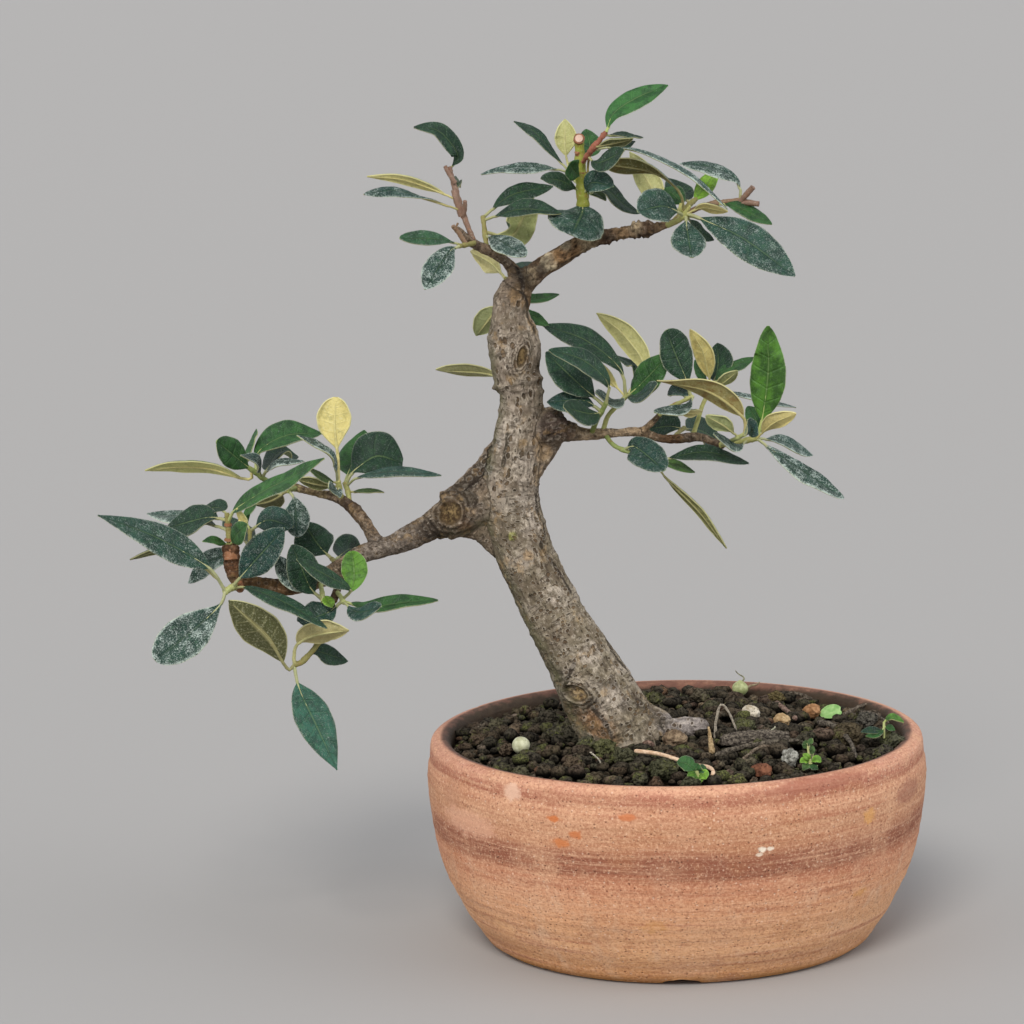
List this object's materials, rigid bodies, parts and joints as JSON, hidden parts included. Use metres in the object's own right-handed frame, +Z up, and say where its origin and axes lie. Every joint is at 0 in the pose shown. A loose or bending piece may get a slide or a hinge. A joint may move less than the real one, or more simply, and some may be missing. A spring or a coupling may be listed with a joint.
{
  "type": "bonsai tree in a pot",
  "caption": "Small leaning bonsai tree with a thick bare trunk, leafy pads on its branches and gritty soil, in a round unglazed terracotta bowl with a notched foot.",
  "frame": {"origin": "on the surface that the pot stands on, under the middle of the whole object's bounding box; the pot's own axis stands 55.7 mm to +X of it", "axes": "+Z up along the pot's axis; +X across the front view, from the long low branch towards the pot; the viewer of the pictured side stands at -Y"},
  "size_m": [0.2914, 0.18, 0.3091],
  "materials": {
    "terracotta": "matte unglazed, thrown, with soft bands",
    "grit": "rough damp bonsai grit with mossy grains",
    "screen_mesh": "matte",
    "bark": "matte grey-tan bark with dark pits and old cuts",
    "leaf": "satin dark green leaf with pale hairs, pale yellow-green underside and stalk",
    "pale_stone": "matte",
    "tan_stone": "matte",
    "red_stone": "matte",
    "dry_straw": "matte",
    "fresh_green": "satin"
  },
  "bodies": {
    "root": {"pot": "terracotta", "soil": "grit", "drainage_screen": "screen_mesh", "trunk": "bark", "left_shoot_1": "leaf", "left_shoot_2": "leaf", "left_shoot_3": "leaf", "left_shoot_4": "leaf", "left_shoot_5": "leaf", "left_shoot_6": "leaf", "left_shoot_7": "leaf", "left_shoot_8": "leaf", "left_shoot_9": "leaf", "left_shoot_10": "leaf", "left_shoot_11": "leaf", "crown_shoot_1": "leaf", "crown_shoot_2": "leaf", "crown_shoot_3": "leaf", "crown_shoot_4": "leaf", "crown_shoot_5": "leaf", "crown_shoot_6": "leaf", "crown_shoot_7": "leaf", "crown_shoot_8": "leaf", "crown_shoot_9": "leaf", "crown_shoot_10": "leaf", "trunk_shoot_1": "leaf", "trunk_shoot_2": "leaf", "right_shoot_1": "leaf", "right_shoot_2": "leaf", "right_shoot_3": "leaf", "right_shoot_4": "leaf", "right_shoot_5": "leaf", "right_shoot_6": "leaf", "right_shoot_7": "leaf", "right_shoot_8": "leaf", "round_pellet": "pale_stone", "tan_stone": "tan_stone", "white_stone": "pale_stone", "ochre_stone": "tan_stone", "orange_stone": "red_stone", "red_stone": "red_stone", "grey_stone": "pale_stone", "dry_stalk": "dry_straw", "bark_chip": "bark", "fallen_leaf": "fresh_green", "seed_pod": "fresh_green", "seedling_1": "fresh_green", "seedling_2": "fresh_green", "seedling_3": "fresh_green"}
  },
  "joints": []
}
